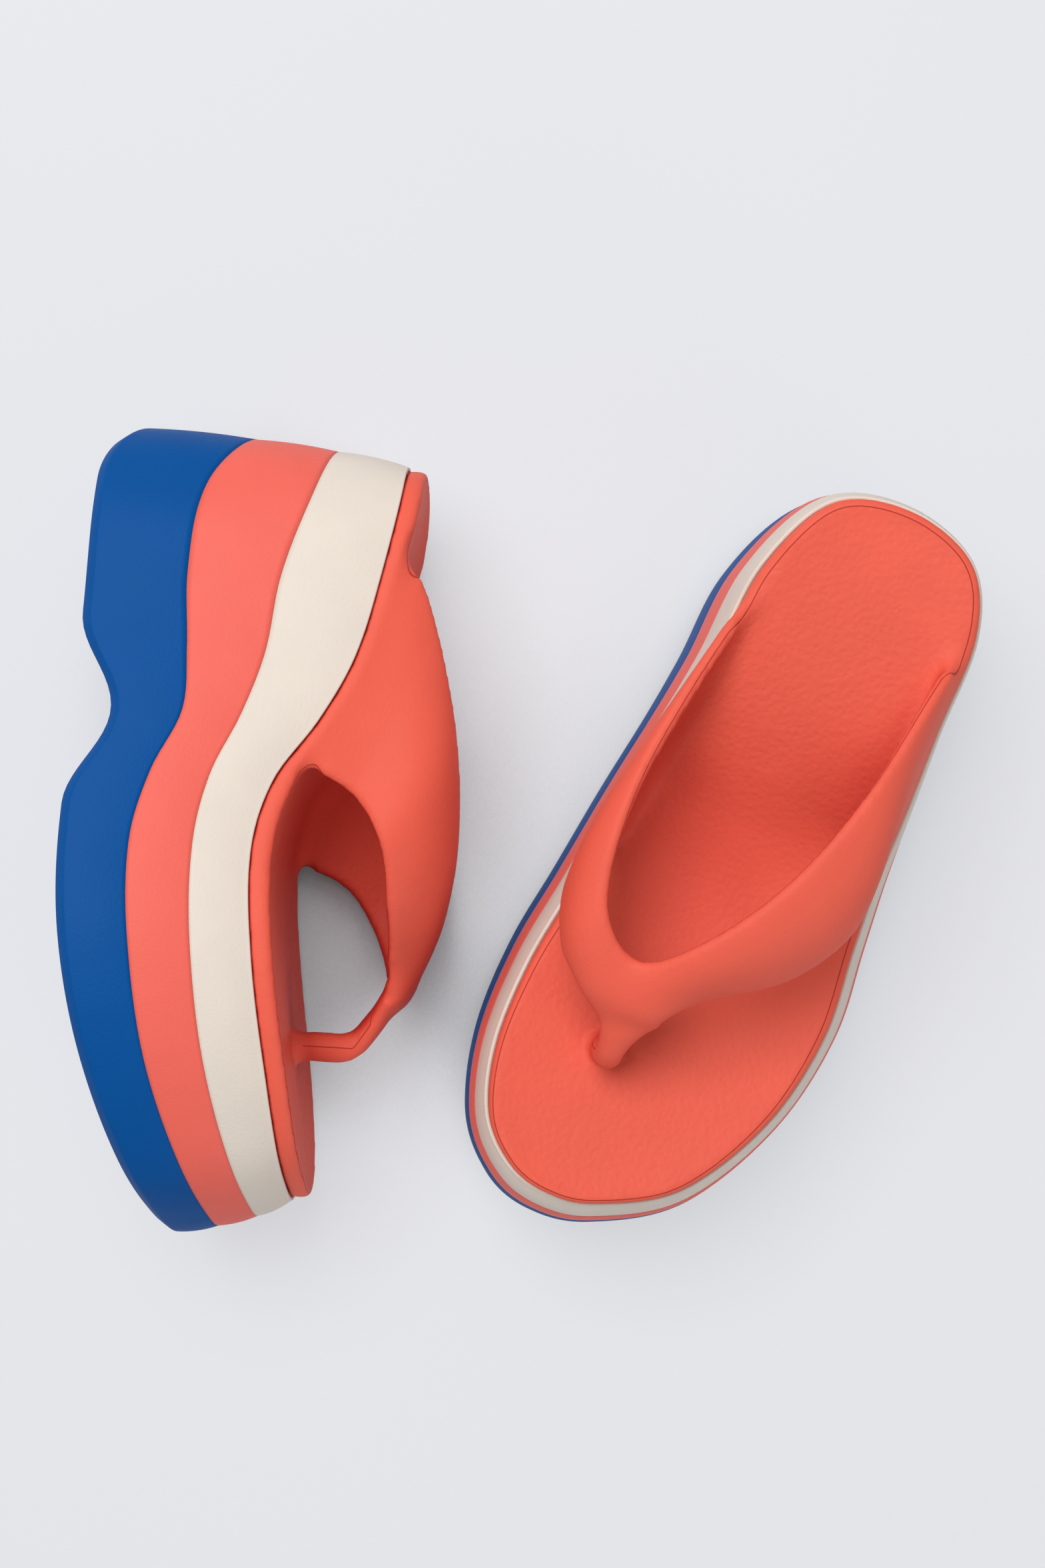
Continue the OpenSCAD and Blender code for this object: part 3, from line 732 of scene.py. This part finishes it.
def foam(name, color, rough=0.55, gloss=0.25, moulded=False):
    """Moulded foam with faint clouds and a fine grain. The upper's is coarser inside its parting line,
    which is darker, and it has painted shade, a darker red, where its walls face each other.
    """
    material = bpy.data.materials.new(name)
    material.use_nodes = True
    tree = material.node_tree
    shader = tree.nodes["Principled BSDF"]
    shader.inputs["Roughness"].default_value = rough
    shader.inputs["Specular IOR Level"].default_value = gloss
    where = node_of(tree, "ShaderNodeTexCoord")
    clouds = node_of(tree, "ShaderNodeTexNoise", Scale=CLOUD_SCALE, Detail=3.0)
    tree.links.new(where.outputs["Object"], clouds.inputs["Vector"])
    dark = tuple(c * (1 - CLOUD_CHANGE) for c in color)
    light = tuple(min(1, c * (1 + CLOUD_CHANGE)) for c in color)
    tint = mixed(tree, clouds.outputs["Fac"], dark, light)
    height = leather(tree, where, FINE_GRAIN, FINE_DEPTH)
    if moulded:
        side = node_of(tree, "ShaderNodeAttribute", attribute_name="mould_side").outputs["Fac"]
        outside = ramp(tree, side, -GRAIN_EDGE, GRAIN_EDGE)
        height = mixed(tree, outside, leather(tree, where, COARSE_GRAIN, COARSE_DEPTH), height)
        apart = node_of(tree, "ShaderNodeMath", operation="ABSOLUTE")
        tree.links.new(side, apart.inputs[0])
        line = ramp(tree, apart.outputs[0], *LINE_HALF, 1, 0)
        height = sum_of(tree, height, line, -LINE_DEPTH)
        # painted shade: the upper turns a darker red where its walls face each other
        open_sky = node_of(tree, "ShaderNodeAmbientOcclusion", Distance=PAINTED_SHADE_REACH, samples=16)
        painted_shade_share = ramp(tree, open_sky.outputs["AO"], *PAINTED_SHADE_OPEN, 1, 0)
        tint = mixed(tree, painted_shade_share, tint, times(color, PAINTED_SHADE_TINT))
        tint = mixed(tree, line, tint, times(color, LINE_TINT))
    tree.links.new(tint, shader.inputs["Base Color"])
    bump = node_of(tree, "ShaderNodeBump", Strength=1.0, Distance=MM)
    tree.links.new(height, bump.inputs["Height"])
    tree.links.new(bump.outputs["Normal"], shader.inputs["Normal"])
    return material


# ---------- floor, lights and camera ----------

CAMERA_UP = 0.8          # the camera's height over the floor
VIEW_CENTRE = (-0.0039, 0.0149)
FRAME_HEIGHT = 0.5549    # how much of the floor the picture's height takes in
FLOOR = (0.81, 0.82, 0.85)
FILLED = 0.72            # share of the floor that the camera sees glowing at its own colour, which the far shadows don't reach
PAINTED_SHADOW_REACH = 0.09       # reach of the painted shade around what stands on the floor
DEEP_SHADE, FAINT_SHADE = 0.2, 0.62      # openness at which that painted shade is deepest, and isn't seen
DEEPEST = 0.08           # what is left of the floor's glow there
FLOOR_HALF = 4           # half of the floor's width
AIM = (0, 0, 0.05)       # where the lamps point
WORLD_LIGHT = 0.27


def stage():
    """A pale floor. The camera sees part of it glow at its own colour, which lightens its shadows, with
    painted shade near what stands on it.
    """
    corners = [(x * FLOOR_HALF, y * FLOOR_HALF, 0) for x, y in ((-1, -1), (1, -1), (1, 1), (-1, 1))]
    mesh = mesh_from("floor", corners, [(0, 1, 2, 3)])
    floor = bpy.data.objects.new("floor", mesh)
    bpy.context.scene.collection.objects.link(floor)
    material = bpy.data.materials.new("floor")
    material.use_nodes = True
    tree = material.node_tree
    shader = tree.nodes["Principled BSDF"]
    shader.inputs["Base Color"].default_value = (*FLOOR, 1)
    shader.inputs["Roughness"].default_value = 0.8
    shader.inputs["Specular IOR Level"].default_value = 0.1
    # painted shade: the glow that the camera sees darkens near what stands on the floor
    shade = node_of(tree, "ShaderNodeAmbientOcclusion", Distance=PAINTED_SHADOW_REACH, samples=12)
    painted_shadow = ramp(tree, shade.outputs["AO"], DEEP_SHADE, FAINT_SHADE, DEEPEST, 1.0)
    glow_with_painted_shadow = node_of(tree, "ShaderNodeEmission")
    glow_with_painted_shadow.inputs["Color"].default_value = (*FLOOR, 1)
    tree.links.new(painted_shadow, glow_with_painted_shadow.inputs["Strength"])
    share = node_of(tree, "ShaderNodeMath", operation="MULTIPLY")
    share.inputs[1].default_value = FILLED
    path = node_of(tree, "ShaderNodeLightPath")
    tree.links.new(path.outputs["Is Camera Ray"], share.inputs[0])
    both = node_of(tree, "ShaderNodeMixShader")
    tree.links.new(share.outputs[0], both.inputs[0])
    tree.links.new(shader.outputs[0], both.inputs[1])
    tree.links.new(glow_with_painted_shadow.outputs[0], both.inputs[2])
    tree.links.new(both.outputs[0], tree.nodes["Material Output"].inputs["Surface"])
    mesh.materials.append(material)


def lamp(name, at, size, watts):
    data = bpy.data.lights.new(name, "AREA")
    data.shape = "DISK"
    data.size = size
    data.energy = watts
    obj = bpy.data.objects.new(name, data)
    obj.location = at
    obj.rotation_euler = (Vector(AIM) - Vector(at)).to_track_quat("-Z", "Y").to_euler()
    bpy.context.scene.collection.objects.link(obj)


def lights():
    """A big soft lamp overhead, a faint low one for the walls, and a world that the camera sees pale."""
    world = bpy.data.worlds.new("studio")
    bpy.context.scene.world = world
    world.use_nodes = True
    tree = world.node_tree
    light = tree.nodes["Background"]
    light.inputs["Color"].default_value = (0.97, 0.98, 1.0, 1)
    light.inputs["Strength"].default_value = WORLD_LIGHT
    seen = node_of(tree, "ShaderNodeBackground")
    seen.inputs["Color"].default_value = (*FLOOR, 1)
    path = node_of(tree, "ShaderNodeLightPath")
    both = node_of(tree, "ShaderNodeMixShader")
    tree.links.new(path.outputs["Is Camera Ray"], both.inputs[0])
    tree.links.new(light.outputs[0], both.inputs[1])
    tree.links.new(seen.outputs[0], both.inputs[2])
    tree.links.new(both.outputs[0], tree.nodes["World Output"].inputs["Surface"])
    lamp("over", (-0.35, 0.55, 1.5), 1.1, 20)
    lamp("low", (1.5, -2.0, 0.75), 1.2, 11)


def camera():
    data = bpy.data.cameras.new("camera")
    data.sensor_fit = "VERTICAL"
    data.angle = 2 * np.arctan(FRAME_HEIGHT / 2 / CAMERA_UP)
    obj = bpy.data.objects.new("camera", data)
    obj.location = (*VIEW_CENTRE, CAMERA_UP)
    bpy.context.scene.collection.objects.link(obj)
    bpy.context.scene.camera = obj


# ---------- putting it together ----------

def main():
    upper_coral = foam("coral_foam", (0.90, 0.13, 0.08), gloss=0.18, moulded=True)
    cream = foam("cream_foam", (0.83, 0.735, 0.64))
    coral = foam("coral_side", (0.93, 0.15, 0.11))
    blue = foam("blue_foam", (0.001, 0.085, 0.33), gloss=0.1)
    meshes = {
        "upper": (upper_mesh(), "coral_upper", upper_coral),
        "cream_layer": (mesh_from("cream", *cream_layer()), "cream_layer", cream),
        "coral_layer": (mesh_from("coral", *coral_layer()), "coral_layer", coral),
        "blue_outsole": (mesh_from("blue", *blue_outsole()), "blue_outsole", blue),
    }
    for side in ("right", "left"):
        spot = place(side)
        for node, (mesh, slot, material) in meshes.items():
            piece(side + "_" + node + "_skin", mesh, side, node, slot, material, spot)
    stage()
    lights()
    camera()
    bpy.context.scene.view_settings.view_transform = "Standard"


main()
